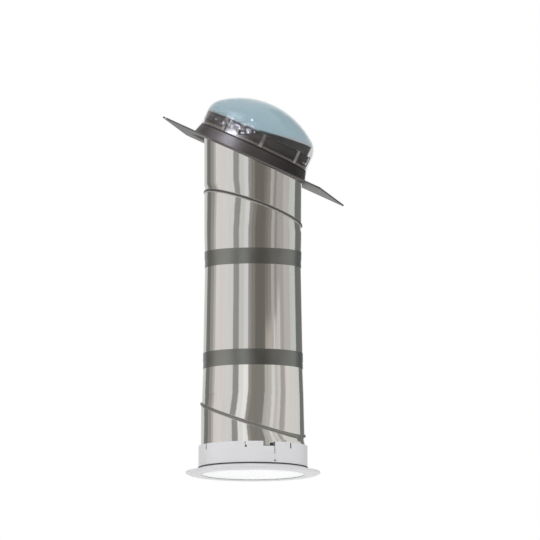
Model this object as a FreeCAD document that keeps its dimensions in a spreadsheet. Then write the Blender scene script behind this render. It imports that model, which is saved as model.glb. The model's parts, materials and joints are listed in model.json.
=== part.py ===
"""Tubular skylight: roof dome and flashing, reflective tube with swivelling bends, and ceiling ring."""
import FreeCAD, Part
import math
import os
import re
import Sketcher

V = FreeCAD.Vector
NEAR = 1e-4  # millimetres within which two measured sizes are the same

# Driving dimensions, in millimetres and degrees. Heights are above the underside of the ceiling.
SIZES = {
    "roof_pitch": (25, "slope of the roof, falling towards +X"),
    "roof_height": (800, "where the tube's axis meets the underside of the flashing"),
    "bend_height": (30, "the fixed bend above the flashing's underside, along the roof's normal"),
    "flashing_side": (450, "side of the square roof plate"),
    "flashing_sheet": (1.0, "thickness of the flashing"),
    "flashing_corner_radius": (12, "corners of the roof plate"),
    "flashing_rim_height": (4, "raised rim round the plate, from its underside"),
    "flashing_rim_width": (2.5, "width of the raised rim"),
    "flashing_rim_rounding": (0.8, "rounding of the rim's top edges"),
    "fixing_inset": (20, "roof fixing holes from the edges of the plate"),
    "fixing_hole_diameter": (5.5, "roof fixing holes"),
    "turret_height": (70, "top of the turret"),
    "turret_shoulder": (5.5, "turret's top beyond the flange of the hanger"),
    "turret_knee_height": (36, "ledge under the dome's rim, where the turret's cone ends"),
    "turret_knee_step": (2, "turret's wall on the ledge, beyond its top"),
    "turret_ledge_width": (5.7, "width of the ledge"),
    "turret_ledge_radius": (2, "folding radius at the ledge's edge"),
    "turret_base_step": (11.2, "how far the base stands out from the ledge"),
    "turret_base_radius": (8, "drawing radius at the plate"),
    "turret_top_radius": (3, "folding radius at the top"),
    "dome_wall": (3, "acrylic thickness"),
    "dome_rim_room": (1, "the dome's rim above the turret's ledge"),
    "dome_height": (118, "rim to crown"),
    "dome_skirt_room": (0.3, "straight skirt above the spacers"),
    "dome_shoulder_radius": (48, "rounding between skirt and crown"),
    "dome_bead_width": (1.5, "bead round the rim, how far it stands out"),
    "dome_bead_height": (5, "height of that bead"),
    "spacer_count": (8, "nylon spacers between turret and dome"),
    "spacer_turn": (15, "angle of the first spacer"),
    "spacer_width": (9, "width of a spacer"),
    "spacer_thickness": (2, "thickness of a spacer"),
    "spacer_clearance": (0.5, "room round a spacer"),
    "dome_screw_count": (4, "screws through the dome's skirt"),
    "dome_screw_turn": (78, "angle of the first dome screw"),
    "dome_screw_rise": (14, "dome screws above the rim"),
    "dome_screw_diameter": (4, "shank of a dome screw"),
    "dome_screw_reach": (6, "how far a dome screw passes the turret's wall"),
    "screw_head_height": (2.4, "pan heads"),
    "screw_clearance": (0.2, "radial room of a screw in its hole"),
    "washer_thickness": (1.2, "sealing washers of the dome screws"),
    "washer_diameter": (11, "outside of the sealing washers"),
    "hanger_sheet": (1.2, "thickness of the ring that hangs the tube in the turret"),
    "hanger_depth": (12, "length of its sleeve"),
    "hanger_flange_width": (7.5, "width of its flange"),
    "hanger_clearance": (0.3, "room between its sleeve and the tube"),
    "hanger_gasket_thickness": (1.5, "gasket under its flange"),
    "hanger_screw_count": (3, "screws through its flange"),
    "hanger_screw_turn": (61, "angle of the first one"),
    "hanger_screw_diameter": (3.2, "shank of a hanger screw"),
    "hanger_screw_reach": (5, "how far it passes the turret's lip"),
    "lip_clearance": (0.8, "turret's lip to the hanger's sleeve"),
    "neck_lip_width": (2, "rolled edge of the tube over the hanger"),
    "tube_wall": (0.6, "reflective sheet"),
    "seam_tilt": (20, "slope of both swivel seams"),
    "seam_reach": (62, "seam centre to where the tube is round again"),
    "seam_clearance": (0.3, "running room between the nested beads"),
    "bead_radius": (3.5, "outside of the rolled bead"),
    "upper_seam_drop": (122, "centre of the upper seam below the roof"),
    "upper_seam_turn": (20, "direction in which the upper seam falls"),
    "upper_seam_step": (6, "upper seam's circle beyond the tube"),
    "lower_seam_height": (134, "centre of the lower seam"),
    "lower_seam_turn": (339, "direction in which the lower seam falls"),
    "lower_seam_step": (4.5, "lower seam's circle beyond the tube's lower end"),
    "top_tube_diameter": (250, "tube above and below the upper seam"),
    "top_tube_end_diameter": (247.6, "lower end of the upper bend"),
    "upper_joint_drop": (132, "edge of the outer tube at the upper slip joint, below the seam's centre"),
    "lower_joint_rise": (151, "edge of the outer tube at the lower slip joint, above the seam's centre"),
    "joint_overlap": (35, "how far one tube slips into the next"),
    "joint_clearance": (0.2, "radial room in a slip joint"),
    "extension_end_diameter": (256.2, "lower end of the extension tube"),
    "bend_top_step": (3.5, "lower bend above its seam, within the tube's lower end"),
    "bend_foot_step": (0.3, "lower bend below its seam, within the tube's lower end"),
    "bottom_tube_diameter": (268, "lower end of the tube"),
    "bottom_tube_height": (9, "lower end of the tube above the ceiling"),
    "tape_width": (41, "foil tape round a slip joint"),
    "tape_thickness": (0.3, "foil tape"),
    "tape_gap": (0.1, "adhesive under the tape"),
    "tape_step": (2, "height over which the tape goes down to the inner tube"),
    "ring_room": (3.6, "tube's lower end to the ceiling ring's collar"),
    "ring_wall": (2.4, "wall of the collar"),
    "ring_height": (66, "height of the collar"),
    "ring_flange_width": (29, "flange under the ceiling, beyond the collar"),
    "ring_flange_thickness": (2.5, "thickness of that flange"),
    "ring_slot_count": (7, "slots in the collar's upper edge"),
    "ring_slot_turn": (13.3, "angle of the first slot"),
    "ring_slot_width": (5, "width of a slot"),
    "ring_slot_depth": (15.5, "depth of a slot"),
    "ring_notch_turn": (295.5, "angle of the notch beside the split"),
    "ring_notch_width": (32, "width of the notch"),
    "ring_notch_depth": (12, "depth of the notch"),
    "ring_split_width": (2, "width of the split under the notch"),
    "ring_split_foot": (34, "lower end of the split"),
    "seal_height": (42, "lower edge of the foam seal in the collar"),
    "seal_width": (14, "height of the foam seal"),
    "seal_clearance": (0.2, "room of the foam seal at each wall"),
    "trim_lap": (4, "snap-in trim beyond the ceiling ring's flange"),
    "trim_clearance": (0.4, "trim to the ceiling ring"),
    "trim_wall": (2, "wall of the trim's upstand"),
    "trim_upstand": (6, "top of the upstand above the ceiling"),
    "trim_drop": (8, "face of the trim below the ceiling"),
    "trim_edge": (2.4, "height of the trim's outer edge"),
    "trim_flat_width": (22, "flat part of the trim's face"),
    "trim_ledge_width": (2.8, "ledge that carries the lens"),
    "trim_ledge_thickness": (1.6, "thickness of that ledge"),
    "lens_thickness": (2.5, "diffuser lens at its edge"),
    "lens_crown": (1.3, "how far the lens bulges downwards"),
    "lens_clearance": (0.3, "lens to the trim"),
    "lens_gasket_thickness": (0.8, "gasket between lens and ledge"),
    "retainer_wire": (1.8, "spring wire that holds the lens"),
    "retainer_turn": (340, "how far round the spring wire goes"),
}

doc = FreeCAD.newDocument("TubularSkylight")
sheet = doc.addObject("Spreadsheet::Sheet", "Sizes")
for row, (alias, (number, note)) in enumerate(SIZES.items(), start=1):
    sheet.set(f"A{row}", alias)
    sheet.set(f"B{row}", str(number))
    sheet.setAlias(f"B{row}", alias)
    sheet.set(f"C{row}", note)
doc.recompute()


def cells(text):
    """The expression with each size's name turned into its cell of the sheet."""
    return re.sub(r"[a-z_]+", lambda word: f"Sizes.{word[0]}" if word[0] in SIZES else word[0], text)


def value(text):
    """The number that an expression gives now."""
    return float(sheet.evalExpression(cells(text)))


# Heights and radii that several pieces share
ROOF_FRAME = (
    "placement(vector(-bend_height * sin(roof_pitch); 0;"
    " roof_height + bend_height * sin(roof_pitch) * tan(roof_pitch)); rotationy(roof_pitch))"
)
CEILING_FRAME = "placement(vector(0; 0; 0); rotationz(0))"
PLATE_SHIFT = "bend_height * tan(roof_pitch)"
TUBE_RADIUS = "top_tube_diameter / 2"
SLEEVE_INSIDE = f"({TUBE_RADIUS} + hanger_clearance)"
SLEEVE_OUTSIDE = f"({SLEEVE_INSIDE} + hanger_sheet)"
LIP_RADIUS = f"({SLEEVE_OUTSIDE} + lip_clearance)"
HANGER_RADIUS = f"({SLEEVE_OUTSIDE} + hanger_flange_width)"
HANGER_SEAT = "(turret_height + hanger_gasket_thickness)"
HANGER_TOP = f"({HANGER_SEAT} + hanger_sheet)"
HANGER_SCREW_RADIUS = f"({LIP_RADIUS} + {HANGER_RADIUS}) / 2"
HANGER_HOLE = "hanger_screw_diameter / 2 + screw_clearance"
TURRET_TOP = f"({HANGER_RADIUS} + turret_shoulder)"
TURRET_KNEE = f"({TURRET_TOP} + turret_knee_step)"
TURRET_LEDGE = f"({TURRET_KNEE} + turret_ledge_width)"
TURRET_BASE = f"({TURRET_LEDGE} + turret_base_step)"
SPACER_INSIDE = f"({TURRET_KNEE} + spacer_clearance)"
SPACER_OUTSIDE = f"({SPACER_INSIDE} + spacer_thickness)"
SPACER_TOP = "(turret_height + spacer_thickness)"
SKIRT_INSIDE = f"({SPACER_OUTSIDE} + spacer_clearance)"
SKIRT = f"({SKIRT_INSIDE} + dome_wall)"
DOME_RIM = "(turret_knee_height + dome_rim_room)"
DOME_CROWN = f"({DOME_RIM} + dome_height)"
DOME_SCREW_HEIGHT = f"({DOME_RIM} + dome_screw_rise)"
DOME_HOLE = "dome_screw_diameter / 2 + screw_clearance"
UPPER_SEAM = "(roof_height - upper_seam_drop)"
UPPER_JOINT = f"({UPPER_SEAM} - upper_joint_drop)"
LOWER_JOINT = "(lower_seam_height + lower_joint_rise)"
EXTENSION_TOP = "(top_tube_end_diameter / 2 - tube_wall - joint_clearance)"
EXTENSION_SLOPE = f"((extension_end_diameter / 2 - {EXTENSION_TOP}) / ({UPPER_JOINT} - {LOWER_JOINT}))"
BOTTOM_TOP = "(extension_end_diameter / 2 - tube_wall - joint_clearance)"
BOTTOM_RADIUS = "(bottom_tube_diameter / 2)"
BEND_TOP = f"({BOTTOM_RADIUS} - bend_top_step)"
SEAMS = {
    "upper": (UPPER_SEAM, "upper_seam_turn", f"({TUBE_RADIUS} + upper_seam_step)"),
    "lower": ("lower_seam_height", "lower_seam_turn", f"({BOTTOM_RADIUS} + lower_seam_step)"),
}
RING_INSIDE = f"({BOTTOM_RADIUS} + ring_room)"
RING_OUTSIDE = f"({RING_INSIDE} + ring_wall)"
RING_FLANGE = f"({RING_OUTSIDE} + ring_flange_width)"
UPSTAND_OUTSIDE = f"({RING_INSIDE} - trim_clearance)"
UPSTAND_INSIDE = f"({UPSTAND_OUTSIDE} - trim_wall)"
LEDGE_TOP = "(trim_ledge_thickness - trim_drop)"
LENS_FOOT = f"({LEDGE_TOP} + lens_gasket_thickness)"
LENS_TOP = f"({LENS_FOOT} + lens_thickness)"


def new_body(label, frame, several=False):
    """A sub-part in its own frame; several lets it hold a group of separate solids."""
    body = doc.addObject("PartDesign::Body", label)
    body.Label = label
    body.AllowCompound = several
    body.setExpression("Placement", cells(frame))
    return body


def origin_feature(body, role):
    return [feature for feature in body.Origin.OriginFeatures if feature.Role == role][0]


def new_sketch(body, name, plane, offset=None):
    sketch = body.newObject("Sketcher::SketchObject", name)
    sketch.AttachmentSupport = (origin_feature(body, plane), "")
    sketch.MapMode = "FlatFace"
    if offset:
        sketch.setExpression("AttachmentOffset", cells(offset))
    return sketch


def hold(sketch, kind, name, geometry, point, text):
    """Ties one coordinate of a point, or a radius, to an expression."""
    if kind == "Radius":
        index = sketch.addConstraint(Sketcher.Constraint(kind, geometry, value(text)))
    elif text == "0":
        axis = -2 if kind == "DistanceX" else -1
        sketch.addConstraint(Sketcher.Constraint("PointOnObject", geometry, point, axis))
        return
    else:
        index = sketch.addConstraint(Sketcher.Constraint(kind, geometry, point, value(text)))
    sketch.renameConstraint(index, name)
    sketch.setExpression(f"Constraints.{name}", cells(text))


def circle(sketch, radius, x="0", y="0"):
    index = sketch.addGeometry(Part.Circle(V(value(x), value(y), 0), V(0, 0, 1), value(radius)), False)
    hold(sketch, "DistanceX", f"circle_x{index}", index, 3, x)
    hold(sketch, "DistanceY", f"circle_y{index}", index, 3, y)
    hold(sketch, "Radius", f"circle_r{index}", index, 0, radius)


def outline(sketch, points, arcs=None):
    """A closed outline through points. arcs gives, for the side that starts at a point, which way it bulges
    (+1 is left of the direction of travel) and what holds its centre or its radius."""
    arcs = arcs or {}
    places = [V(value(x), value(y), 0) for x, y in points]
    ends = []
    for i, start in enumerate(places):
        stop = places[(i + 1) % len(places)]
        if i not in arcs:
            ends.append((sketch.addGeometry(Part.LineSegment(start, stop), False), 1, 2))
            continue
        bulge, kind, text = arcs[i]
        middle = (start + stop) * 0.5
        half = (stop - start).Length / 2
        sideways = V(start.y - stop.y, stop.x - start.x, 0).normalize() * bulge
        if kind == "Radius":
            to_centre = math.sqrt(value(text) ** 2 - half ** 2)
        else:
            to_centre = (middle.x - value(text)) / sideways.x
        sagitta = math.hypot(half, to_centre) - to_centre
        peak = middle + sideways * sagitta
        anticlockwise = bulge < 0
        arc = Part.Arc(start, peak, stop) if anticlockwise else Part.Arc(stop, peak, start)
        index = sketch.addGeometry(arc, False)
        ends.append((index, 1, 2) if anticlockwise else (index, 2, 1))
    for i, (x, y) in enumerate(points):
        before, _, before_end = ends[i - 1]
        index, first, _ = ends[i]
        sketch.addConstraint(Sketcher.Constraint("Coincident", before, before_end, index, first))
        hold(sketch, "DistanceX", f"x{index}", index, first, x)
        hold(sketch, "DistanceY", f"y{index}", index, first, y)
    for i, (_, kind, text) in arcs.items():
        hold(sketch, kind, f"arc{ends[i][0]}", ends[i][0], 3, text)


def revolve(body, name, points, arcs=None, plane="XZ_Plane", offset=None, axis="V_Axis"):
    """Turns a closed outline all the way round an axis of its sketch."""
    sketch = new_sketch(body, f"{name}_section", plane, offset)
    outline(sketch, points, arcs)
    feature = body.newObject("PartDesign::Revolution", name)
    feature.Profile = sketch
    feature.ReferenceAxis = (sketch, [axis])
    return feature


def repeat(body, feature, count):
    """Repeats a feature all the way round the body's Z axis."""
    pattern = body.newObject("PartDesign::PolarPattern", f"{feature.Name}_repeated")
    pattern.Originals = [feature]
    pattern.Axis = (origin_feature(body, "Z_Axis"), [""])
    pattern.setExpression("Occurrences", cells(count))
    body.Tip = pattern
    return pattern


def cut(body, name, sketch, length, reverse=False):
    """Cuts a sketch out of the body, and makes sure that it took something away."""
    doc.recompute()
    before = body.Shape.Volume
    feature = body.newObject("PartDesign::Pocket", name)
    feature.Profile = sketch
    feature.Reversed = reverse
    feature.setExpression("Length", cells(length))
    doc.recompute()
    if not body.Shape.Volume < before:
        raise RuntimeError(f"{name} in {body.Label} cuts nothing")
    return feature


def radial_holes(body, name, radius, height, turn, count, reach):
    """Round holes that point away from the Z axis."""
    offset = f"placement(vector(0; {height}; 0); rotationy({turn}))"
    sketch = new_sketch(body, f"{name}_sketch", "YZ_Plane", offset)
    circle(sketch, radius)
    repeat(body, cut(body, name, sketch, reach, reverse=True), count)


def axial_holes(body, name, radius, ring_radius, turn, count, height, depth):
    """Round holes along the Z axis, cut downwards from a height."""
    offset = f"placement(vector(0; 0; {height}); rotationz({turn}))"
    sketch = new_sketch(body, f"{name}_sketch", "XY_Plane", offset)
    circle(sketch, radius, x=ring_radius)
    repeat(body, cut(body, name, sketch, depth), count)


def round_edges(body, name, radius, chosen):
    """Rounds the edges of the body that a test picks."""
    doc.recompute()
    base = body.Tip
    edges = [f"Edge{i}" for i, edge in enumerate(base.Shape.Edges, start=1) if chosen(edge)]
    if not edges:
        raise RuntimeError(f"{name} in {body.Label} finds no edge")
    feature = body.newObject("PartDesign::Fillet", name)
    feature.Base = (base, edges)
    feature.setExpression("Radius", cells(radius))
    return feature


def circle_at(radius, height):
    """A test for the round edge of a given radius and height."""
    wanted_radius = value(radius)
    wanted_height = value(height)

    def chosen(edge):
        if edge.Degenerated or not isinstance(edge.Curve, Part.Circle):
            return False
        round_edge = edge.Curve
        right_radius = abs(round_edge.Radius - wanted_radius) < NEAR
        return right_radius and abs(round_edge.Center.z - wanted_height) < NEAR

    return chosen


def rounded_square(sketch, half, radius, centre):
    """A square with rounded corners, its centre on the X axis."""
    inner = f"({half} - {radius})"
    right = f"({centre} + {half})"
    left = f"({centre} - {half})"
    arc_right = f"({centre} + {inner})"
    arc_left = f"({centre} - {inner})"
    points = [
        (arc_left, f"-{half}"), (arc_right, f"-{half}"), (right, f"-{inner}"), (right, inner),
        (arc_right, half), (arc_left, half), (left, inner), (left, f"-{inner}"),
    ]
    outline(sketch, points, {i: (-1, "Radius", radius) for i in (1, 3, 5, 7)})


def make_flashing():
    """One drawn sheet: a square roof plate with a raised rim, and a turret with a ledge and a folded lip."""
    body = new_body("flashing", ROOF_FRAME)
    half = "(flashing_side / 2)"

    plate = new_sketch(body, "plate_outline", "XY_Plane")
    rounded_square(plate, half, "flashing_corner_radius", PLATE_SHIFT)
    pad = body.newObject("PartDesign::Pad", "plate")
    pad.Profile = plate
    pad.setExpression("Length", cells("flashing_rim_height"))
    rim_inside = new_sketch(
        body, "rim_inner_outline", "XY_Plane", "placement(vector(0; 0; flashing_rim_height); rotationz(0))"
    )
    rounded_square(
        rim_inside, f"({half} - flashing_rim_width)", "(flashing_corner_radius - flashing_rim_width)",
        PLATE_SHIFT,
    )
    cut(body, "rim_hollow", rim_inside, "flashing_rim_height - flashing_sheet")

    opening = new_sketch(body, "turret_opening", "XY_Plane")
    circle(opening, f"{TURRET_BASE} - flashing_sheet")
    cut(body, "turret_hole", opening, "flashing_rim_height", reverse=True)

    revolve(body, "turret", [
        (f"{TURRET_BASE} + turret_base_radius", "0"),
        (f"{TURRET_BASE} + turret_base_radius", "flashing_sheet"),
        (TURRET_BASE, "flashing_sheet"),
        (TURRET_LEDGE, "turret_knee_height"),
        (TURRET_KNEE, "turret_knee_height"),
        (TURRET_TOP, "turret_height"),
        (LIP_RADIUS, "turret_height"),
        (LIP_RADIUS, "turret_height - flashing_sheet"),
        (f"{TURRET_TOP} - flashing_sheet", "turret_height - flashing_sheet"),
        (f"{TURRET_KNEE} - flashing_sheet", "turret_knee_height - flashing_sheet"),
        (f"{TURRET_LEDGE} - flashing_sheet", "turret_knee_height - flashing_sheet"),
        (f"{TURRET_BASE} - flashing_sheet", "0"),
    ])
    round_edges(body, "base_rounding", "turret_base_radius", circle_at(TURRET_BASE, "flashing_sheet"))
    round_edges(
        body, "base_rounding_below", "turret_base_radius + flashing_sheet",
        circle_at(f"{TURRET_BASE} - flashing_sheet", "0"),
    )
    round_edges(body, "ledge_rounding", "turret_ledge_radius", circle_at(TURRET_LEDGE, "turret_knee_height"))
    round_edges(
        body, "ledge_rounding_inside", "turret_ledge_radius - flashing_sheet",
        circle_at(f"{TURRET_LEDGE} - flashing_sheet", "turret_knee_height - flashing_sheet"),
    )
    round_edges(body, "top_rounding", "turret_top_radius", circle_at(TURRET_TOP, "turret_height"))
    round_edges(
        body, "top_rounding_inside", "turret_top_radius - flashing_sheet",
        circle_at(f"{TURRET_TOP} - flashing_sheet", "turret_height - flashing_sheet"),
    )
    rim_top = value("flashing_rim_height")
    round_edges(
        body, "rim_rounding", "flashing_rim_rounding",
        lambda edge: all(abs(vertex.Z - rim_top) < NEAR for vertex in edge.Vertexes),
    )

    fixings = new_sketch(body, "fixing_holes_sketch", "XY_Plane")
    reach = f"({half} - fixing_inset)"
    for x in (-1, 0, 1):
        for y in (-1, 0, 1):
            if x or y:
                place_x = f"{PLATE_SHIFT} + {x} * {reach}"
                circle(fixings, "fixing_hole_diameter / 2", x=place_x, y=f"{y} * {reach}" if y else "0")
    cut(body, "fixing_holes", fixings, "flashing_sheet", reverse=True)
    radial_holes(
        body, "dome_screw_holes", DOME_HOLE, DOME_SCREW_HEIGHT, "dome_screw_turn", "dome_screw_count",
        TURRET_BASE,
    )
    axial_holes(
        body, "hanger_screw_holes", HANGER_HOLE, HANGER_SCREW_RADIUS, "hanger_screw_turn",
        "hanger_screw_count", "turret_height", "2 * flashing_sheet",
    )


def make_dome():
    """Blown acrylic dome: straight skirt with a beaded rim, rounded shoulder and spherical crown."""
    body = new_body("dome", ROOF_FRAME)
    rise = f"({DOME_CROWN} - {SPACER_TOP} - dome_skirt_room)"
    inset = f"({SKIRT} - dome_shoulder_radius)"
    crown_radius = (
        f"(({inset} ^ 2 + {rise} ^ 2 - dome_shoulder_radius ^ 2) / (2 * ({rise} - dome_shoulder_radius)))"
    )
    centre = f"({DOME_CROWN} - {crown_radius})"
    shoulder = f"{centre} + sqrt({crown_radius} ^ 2 - {SKIRT} ^ 2)"
    shoulder_inside = f"{centre} + sqrt(({crown_radius} - dome_wall) ^ 2 - {SKIRT_INSIDE} ^ 2)"
    revolve(body, "shell", [
        (SKIRT_INSIDE, DOME_RIM),
        (f"{SKIRT} + dome_bead_width", DOME_RIM),
        (f"{SKIRT} + dome_bead_width", f"{DOME_RIM} + dome_bead_height"),
        (SKIRT, f"{DOME_RIM} + dome_bead_height + dome_bead_width"),
        (SKIRT, shoulder),
        ("0", DOME_CROWN),
        ("0", f"{DOME_CROWN} - dome_wall"),
        (SKIRT_INSIDE, shoulder_inside),
    ], {4: (-1, "DistanceX", "0"), 6: (1, "DistanceX", "0")})
    round_edges(body, "shoulder_rounding", "dome_shoulder_radius", circle_at(SKIRT, shoulder))
    round_edges(
        body, "shoulder_rounding_inside", "dome_shoulder_radius - dome_wall",
        circle_at(SKIRT_INSIDE, shoulder_inside),
    )
    radial_holes(
        body, "screw_holes", DOME_HOLE, DOME_SCREW_HEIGHT, "dome_screw_turn", "dome_screw_count",
        f"2 * {SKIRT}",
    )


def make_dome_fasteners():
    """Pan-head screws through the dome's skirt into the turret, each on a sealing washer."""
    offset = f"placement(vector(0; {DOME_SCREW_HEIGHT}; 0); rotationy(dome_screw_turn))"
    seat = f"({SKIRT} + washer_thickness)"
    shank = "dome_screw_diameter / 2"
    screws = new_body("dome_screws", ROOF_FRAME, several=True)
    screw = revolve(screws, "dome_screw", [
        (f"{TURRET_TOP} - dome_screw_reach", "0"),
        (f"{seat} + screw_head_height", "0"),
        (f"{seat} + screw_head_height", shank),
        (f"{seat} + screw_head_height / 2", "dome_screw_diameter"),
        (seat, "dome_screw_diameter"),
        (seat, shank),
        (f"{TURRET_TOP} - dome_screw_reach + {shank}", shank),
    ], offset=offset, axis="H_Axis")
    repeat(screws, screw, "dome_screw_count")

    washers = new_body("dome_washers", ROOF_FRAME, several=True)
    washer = revolve(washers, "dome_washer", [
        (SKIRT, DOME_HOLE),
        (seat, DOME_HOLE),
        (seat, "washer_diameter / 2"),
        (SKIRT, "washer_diameter / 2"),
    ], offset=offset, axis="H_Axis")
    repeat(washers, washer, "dome_screw_count")


def make_dome_spacers():
    """Nylon angles on the turret's top that keep the skirt off its wall."""
    body = new_body("dome_spacers", ROOF_FRAME, several=True)
    foot = f"({HANGER_RADIUS} + spacer_clearance)"
    sketch = new_sketch(
        body, "spacer_section", "XZ_Plane", "placement(vector(0; 0; 0); rotationy(spacer_turn))"
    )
    outline(sketch, [
        (SPACER_INSIDE, f"{DOME_RIM} + spacer_clearance"),
        (SPACER_OUTSIDE, f"{DOME_RIM} + spacer_clearance"),
        (SPACER_OUTSIDE, SPACER_TOP),
        (foot, SPACER_TOP),
        (foot, "turret_height"),
        (SPACER_INSIDE, "turret_height"),
    ])
    spacer = body.newObject("PartDesign::Pad", "spacer")
    spacer.Profile = sketch
    spacer.SideType = "Symmetric"
    spacer.setExpression("Length", cells("spacer_width"))
    repeat(body, spacer, "spacer_count")


def make_hanger():
    """Flanged ring that hangs the tube in the turret, with its gasket and screws."""
    ring = new_body("hanger_ring", ROOF_FRAME)
    revolve(ring, "hanger", [
        (SLEEVE_INSIDE, f"{HANGER_SEAT} - hanger_depth"),
        (SLEEVE_OUTSIDE, f"{HANGER_SEAT} - hanger_depth"),
        (SLEEVE_OUTSIDE, HANGER_SEAT),
        (HANGER_RADIUS, HANGER_SEAT),
        (HANGER_RADIUS, HANGER_TOP),
        (SLEEVE_INSIDE, HANGER_TOP),
    ])
    gasket = new_body("hanger_gasket", ROOF_FRAME)
    revolve(gasket, "gasket", [
        (LIP_RADIUS, "turret_height"),
        (HANGER_RADIUS, "turret_height"),
        (HANGER_RADIUS, HANGER_SEAT),
        (LIP_RADIUS, HANGER_SEAT),
    ])
    for body, top in ((ring, HANGER_TOP), (gasket, HANGER_SEAT)):
        axial_holes(
            body, "screw_holes", HANGER_HOLE, HANGER_SCREW_RADIUS, "hanger_screw_turn", "hanger_screw_count",
            top, "2 * hanger_gasket_thickness",
        )

    screws = new_body("hanger_screws", ROOF_FRAME, several=True)
    shank = "hanger_screw_diameter / 2"
    radius = f"({HANGER_SCREW_RADIUS})"
    offset = (
        f"placement(vector({radius} * cos(hanger_screw_turn); 0; -{radius} * sin(hanger_screw_turn));"
        " rotationy(hanger_screw_turn))"
    )
    screw = revolve(screws, "hanger_screw", [
        ("0", "turret_height - hanger_screw_reach"),
        (shank, f"turret_height - hanger_screw_reach + {shank}"),
        (shank, HANGER_TOP),
        ("hanger_screw_diameter", HANGER_TOP),
        ("hanger_screw_diameter", f"{HANGER_TOP} + screw_head_height / 2"),
        (shank, f"{HANGER_TOP} + screw_head_height"),
        ("0", f"{HANGER_TOP} + screw_head_height"),
    ], offset=offset)
    repeat(screws, screw, "hanger_screw_count")


def tube_section(body, name, offset, radius):
    """A ring of sheet across the tube."""
    sketch = new_sketch(body, name, "XY_Plane", offset)
    circle(sketch, radius)
    circle(sketch, f"{radius} - tube_wall")
    return sketch


def elbow_half(label, seam, above, sections):
    """Half of a swivelling bend, in its seam's frame: a sheet lofted from the sloping seam's circle to level
    rings, and a rolled bead. The half above carries the inner bead, the half below folds its own over it."""
    height, turn, radius = SEAMS[seam]
    body = new_body(label, f"placement(vector(0; 0; {height}); rotationz({turn}) * rotationy(seam_tilt))")
    inner_bead = "(bead_radius - tube_wall - seam_clearance)"
    wall_end = "(bead_radius + tube_wall)" if above else "(-bead_radius - tube_wall)"
    outside = f"({radius} - seam_clearance)" if above else f"({radius})"

    rings = [tube_section(body, "seam_ring", f"placement(vector(0; 0; {wall_end}); rotationz(0))", outside)]
    for i, (level, level_radius) in enumerate(sections):
        along = f"({level} - {height})"
        centre = f"vector(-{along} * sin(seam_tilt); 0; {along} * cos(seam_tilt))"
        offset = f"placement({centre}; rotationy(-seam_tilt))"
        rings.append(tube_section(body, f"ring_{i}", offset, level_radius))
    wall = body.newObject("PartDesign::AdditiveLoft", "wall")
    wall.Profile = rings[0]
    wall.Sections = rings[1:]
    wall.Ruled = True

    if above:
        points = [
            (f"{outside} - tube_wall", wall_end),
            (outside, wall_end),
            (outside, inner_bead),
            (radius, inner_bead),
            (radius, f"-{inner_bead}"),
            (radius, f"tube_wall - {inner_bead}"),
            (radius, f"{inner_bead} - tube_wall"),
            (f"{outside} - tube_wall", f"{inner_bead} - tube_wall"),
        ]
        arcs = {3: (1, "DistanceX", radius), 5: (-1, "DistanceX", radius)}
    else:
        points = [
            (f"{outside} - tube_wall", wall_end),
            (outside, wall_end),
            (radius, "-bead_radius"),
            (radius, "bead_radius"),
            (radius, "bead_radius - tube_wall"),
            (radius, "tube_wall - bead_radius"),
            (f"{outside} - tube_wall", "tube_wall - bead_radius"),
        ]
        arcs = {2: (-1, "DistanceX", radius), 4: (1, "DistanceX", radius)}
    revolve(body, "bead", points, arcs)
    return body, rings


def make_upper_bend():
    """Upper swivelling bend. Its upper half turns from the vertical tube into the turret's own axis."""
    top_radius = f"({TUBE_RADIUS})"
    end_radius = "(top_tube_end_diameter / 2)"
    elbow_half("upper_bend_lower_half", "upper", False, [
        (f"({UPPER_SEAM} - seam_reach)", top_radius),
        (UPPER_JOINT, end_radius),
    ])
    body, rings = elbow_half("upper_bend_upper_half", "upper", True, [
        (f"({UPPER_SEAM} + seam_reach)", top_radius),
    ])
    bend = "(upper_seam_drop + bend_height / cos(roof_pitch))"
    neck = f"({HANGER_TOP} + tube_wall - bend_height)"
    level = "rotationy(-seam_tilt) * rotationz(-upper_seam_turn)"
    spine = new_sketch(body, "neck_path", "XY_Plane", f"placement(vector(0; 0; 0); {level} * rotationx(90))")
    joints = [
        ("0", "seam_reach"),
        ("0", bend),
        (f"{neck} * sin(roof_pitch)", f"{bend} + {neck} * cos(roof_pitch)"),
    ]
    places = [V(value(x), value(y), 0) for x, y in joints]
    for start, stop in zip(places, places[1:]):
        spine.addGeometry(Part.LineSegment(start, stop), False)
    spine.addConstraint(Sketcher.Constraint("Coincident", 0, 2, 1, 1))
    for i, (geometry, point) in enumerate(((0, 1), (0, 2), (1, 2))):
        hold(spine, "DistanceX", f"x{i}", geometry, point, joints[i][0])
        hold(spine, "DistanceY", f"y{i}", geometry, point, joints[i][1])
    pipe = body.newObject("PartDesign::AdditivePipe", "neck")
    pipe.Profile = rings[1]
    pipe.Spine = (spine, ["Edge1", "Edge2"])
    pipe.Transition = "Right corner"
    revolve(body, "neck_lip", [
        (f"{TUBE_RADIUS} - tube_wall", f"{neck} - tube_wall"),
        (f"{TUBE_RADIUS} + neck_lip_width", f"{neck} - tube_wall"),
        (f"{TUBE_RADIUS} + neck_lip_width", neck),
        (f"{TUBE_RADIUS} - tube_wall", neck),
    ], plane="XY_Plane", offset=(
        f"placement(vector(-{bend} * sin(seam_tilt); 0; {bend} * cos(seam_tilt));"
        f" {level} * rotationy(roof_pitch) * rotationx(90))"
    ))


def make_extension():
    """Tapered tube between the bends; its upper end slips into the upper bend."""
    body = new_body("extension_tube", CEILING_FRAME)
    top = f"{UPPER_JOINT} + joint_overlap"
    top_radius = f"({EXTENSION_TOP} - {EXTENSION_SLOPE} * joint_overlap)"
    end_radius = "(extension_end_diameter / 2)"
    revolve(body, "tube", [
        (f"{end_radius} - tube_wall", LOWER_JOINT),
        (end_radius, LOWER_JOINT),
        (top_radius, top),
        (f"{top_radius} - tube_wall", top),
    ])


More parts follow.
